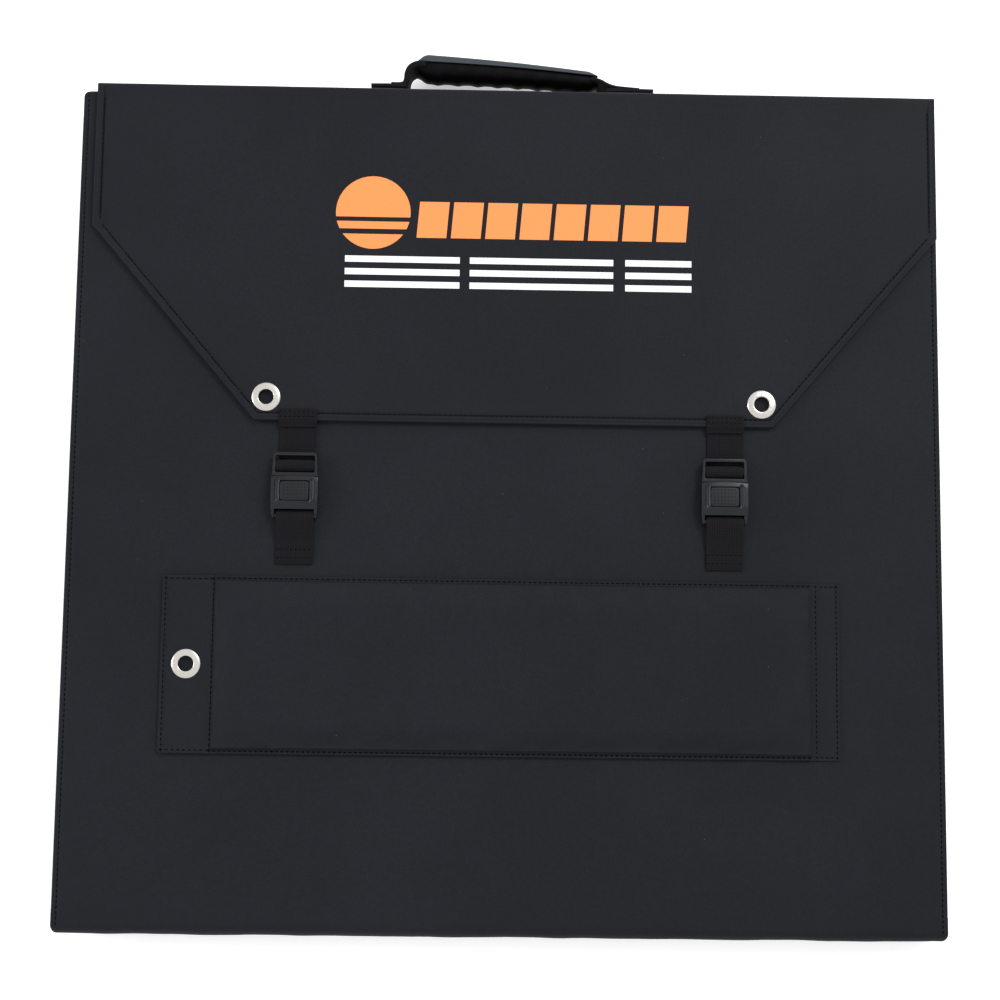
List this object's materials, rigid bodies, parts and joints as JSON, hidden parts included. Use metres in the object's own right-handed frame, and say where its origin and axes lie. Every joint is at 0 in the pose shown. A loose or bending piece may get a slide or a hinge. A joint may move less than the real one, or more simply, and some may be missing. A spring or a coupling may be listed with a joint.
{
  "type": "folding solar blanket",
  "caption": "Fabric-covered solar panels folded flat in a zigzag, with a buckled closing flap, padded support leg and moulded carrying handle.",
  "frame": {"origin": "centre of the back cover's outer face, which rests on the ground when folded", "axes": "+Z out of the front cover, +Y towards the carrying handle, +X to the right seen from the front"},
  "size_m": [0.5662, 0.5772, 0.0486],
  "materials": {
    "cover_fabric": "fine oxford weave, matt with a faint cool sheen",
    "lining_fabric": "plain weave, matt",
    "webbing": "ribbed woven polypropylene, matt",
    "stiff_board": "pressed board, matt",
    "solar_cells": "dark mono-crystalline cells under a clear film, satin gloss",
    "buckle_plastic": "moulded acetal, fine texture, semi-matt",
    "button_plastic": "moulded acetal with raised dots",
    "spring_steel": "spring strip, satin",
    "eyelet_metal": "bright nickel plate",
    "grip_rubber": "ribbed moulded rubber, matt",
    "grip_plastic": "slate-grey soft-touch plastic, semi-matt",
    "box_plastic": "moulded, matt",
    "bush_rubber": "smooth, matt"
  },
  "bodies": {
    "back_panel": {"panel_cover_6": "cover_fabric", "panel_board_6": "stiff_board", "solar_sheet_6": "solar_cells", "junction_box": "box_plastic", "cable_gland": "bush_rubber", "fold_strip_56": "cover_fabric"},
    "panel_5": {"panel_cover_5": "cover_fabric", "panel_board_5": "stiff_board", "solar_sheet_5": "solar_cells", "fold_strip_45": "cover_fabric"},
    "panel_4": {"panel_cover_4": "cover_fabric", "panel_board_4": "stiff_board", "solar_sheet_4": "solar_cells", "fold_strip_34": "cover_fabric"},
    "panel_3": {"panel_cover_3": "cover_fabric", "panel_board_3": "stiff_board", "solar_sheet_3": "solar_cells", "fold_strip_23": "cover_fabric"},
    "panel_2": {"panel_cover_2": "cover_fabric", "panel_board_2": "stiff_board", "solar_sheet_2": "solar_cells", "fold_strip_12": "cover_fabric"},
    "front_panel": {"panel_cover_1": "cover_fabric", "panel_board_1": "stiff_board", "solar_sheet_1": "solar_cells", "spine_cover": "cover_fabric", "spine_board": "stiff_board", "flap_fold": "cover_fabric", "handle_patch_left": "webbing", "handle_patch_right": "webbing", "leg_hinge_strip": "cover_fabric", "strap_anchors": "webbing"},
    "flap": {"flap_lining": "lining_fabric", "flap_cover": "cover_fabric", "flap_stiffener": "stiff_board", "flap_eyelets": "eyelet_metal", "flap_strap_tabs": "webbing"},
    "leg": {"leg_cover": "cover_fabric", "leg_board": "stiff_board", "leg_eyelet": "eyelet_metal"},
    "handle": {"handle_strap_left": "webbing", "handle_strap_right": "webbing", "grip_core": "grip_rubber", "grip_cover": "grip_plastic"},
    "upper_webbing_left": {"upper_strap_left": "webbing"},
    "male_buckle_left": {"male_frame_left": "buckle_plastic", "buckle_loop_left": "webbing", "male_tongues_left": "buckle_plastic"},
    "female_buckle_left": {"female_body_left": "buckle_plastic", "button_spring_left": "spring_steel", "lower_strap_left": "webbing"},
    "button_left": {"release_button_left": "button_plastic"},
    "upper_webbing_right": {"upper_strap_right": "webbing"},
    "male_buckle_right": {"male_frame_right": "buckle_plastic", "buckle_loop_right": "webbing", "male_tongues_right": "buckle_plastic"},
    "female_buckle_right": {"female_body_right": "buckle_plastic", "button_spring_right": "spring_steel", "lower_strap_right": "webbing"},
    "button_right": {"release_button_right": "button_plastic"}
  },
  "joints": [
    {"name": "fold_56", "type": "hinge", "parent": "back_panel", "child": "panel_5", "pos_m": [0, -0.267, 0.0063], "axis": [1, 0, 0], "range_deg": [0, 180], "deforming": ["fold_strip_56"]},
    {"name": "fold_45", "type": "hinge", "parent": "panel_5", "child": "panel_4", "pos_m": [0, 0.267, 0.0129], "axis": [-1, 0, 0], "range_deg": [0, 180], "deforming": ["fold_strip_45"]},
    {"name": "fold_34", "type": "hinge", "parent": "panel_4", "child": "panel_3", "pos_m": [0, -0.267, 0.0195], "axis": [1, 0, 0], "range_deg": [0, 180], "deforming": ["fold_strip_34"]},
    {"name": "fold_23", "type": "hinge", "parent": "panel_3", "child": "panel_2", "pos_m": [0, 0.267, 0.0261], "axis": [-1, 0, 0], "range_deg": [0, 180], "deforming": ["fold_strip_23"]},
    {"name": "fold_12", "type": "hinge", "parent": "panel_2", "child": "front_panel", "pos_m": [0, -0.267, 0.0327], "axis": [1, 0, 0], "range_deg": [0, 180], "deforming": ["fold_strip_12"]},
    {"name": "flap_lift", "type": "hinge", "parent": "front_panel", "child": "flap", "pos_m": [0, 0.2757, 0.0395], "axis": [-1, 0, 0], "range_deg": [0, 180], "deforming": ["flap_fold"]},
    {"name": "handle_swing", "type": "hinge", "parent": "front_panel", "child": "handle", "pos_m": [0, 0.2775, 0.0195], "axis": [-1, 0, 0], "range_deg": [-50, 50], "deforming": ["handle_strap_left", "handle_strap_right"]},
    {"name": "leg_swing", "type": "hinge", "parent": "front_panel", "child": "leg", "pos_m": [0.19625, -0.10405, 0.0404], "axis": [0, 1, 0], "range_deg": [0, 90]},
    {"name": "upper_strap_lift_left", "type": "hinge", "parent": "flap", "child": "upper_webbing_left", "pos_m": [-0.1363, 0.05345, 0.0423], "axis": [-1, 0, 0], "range_deg": [0, 100], "deforming": ["male_tongues_left"]},
    {"name": "buckle_release_left", "type": "slide", "parent": "upper_webbing_left", "child": "male_buckle_left", "axis": [0, 1, 0], "range_m": [0, 0.0155]},
    {"name": "lower_strap_lift_left", "type": "hinge", "parent": "front_panel", "child": "female_buckle_left", "pos_m": [-0.1363, -0.02585, 0.041], "axis": [1, 0, 0], "range_deg": [0, 100]},
    {"name": "button_press_left", "type": "slide", "parent": "female_buckle_left", "child": "button_left", "axis": [0, 0, -1], "range_m": [0, 0.002], "stiffness_N_per_m": 300, "deforming": ["button_spring_left"]},
    {"name": "upper_strap_lift_right", "type": "hinge", "parent": "flap", "child": "upper_webbing_right", "pos_m": [0.1407, 0.05345, 0.0423], "axis": [-1, 0, 0], "range_deg": [0, 100], "deforming": ["male_tongues_right"]},
    {"name": "buckle_release_right", "type": "slide", "parent": "upper_webbing_right", "child": "male_buckle_right", "axis": [0, 1, 0], "range_m": [0, 0.0155]},
    {"name": "lower_strap_lift_right", "type": "hinge", "parent": "front_panel", "child": "female_buckle_right", "pos_m": [0.1407, -0.02585, 0.041], "axis": [1, 0, 0], "range_deg": [0, 100]},
    {"name": "button_press_right", "type": "slide", "parent": "female_buckle_right", "child": "button_right", "axis": [0, 0, -1], "range_m": [0, 0.002], "stiffness_N_per_m": 300, "deforming": ["button_spring_right"]}
  ],
  "couplings": [
    {"joint": "fold_45", "follows": "fold_56", "ratio": 1},
    {"joint": "fold_34", "follows": "fold_56", "ratio": 1},
    {"joint": "fold_23", "follows": "fold_56", "ratio": 1},
    {"joint": "fold_12", "follows": "fold_56", "ratio": 1}
  ]
}
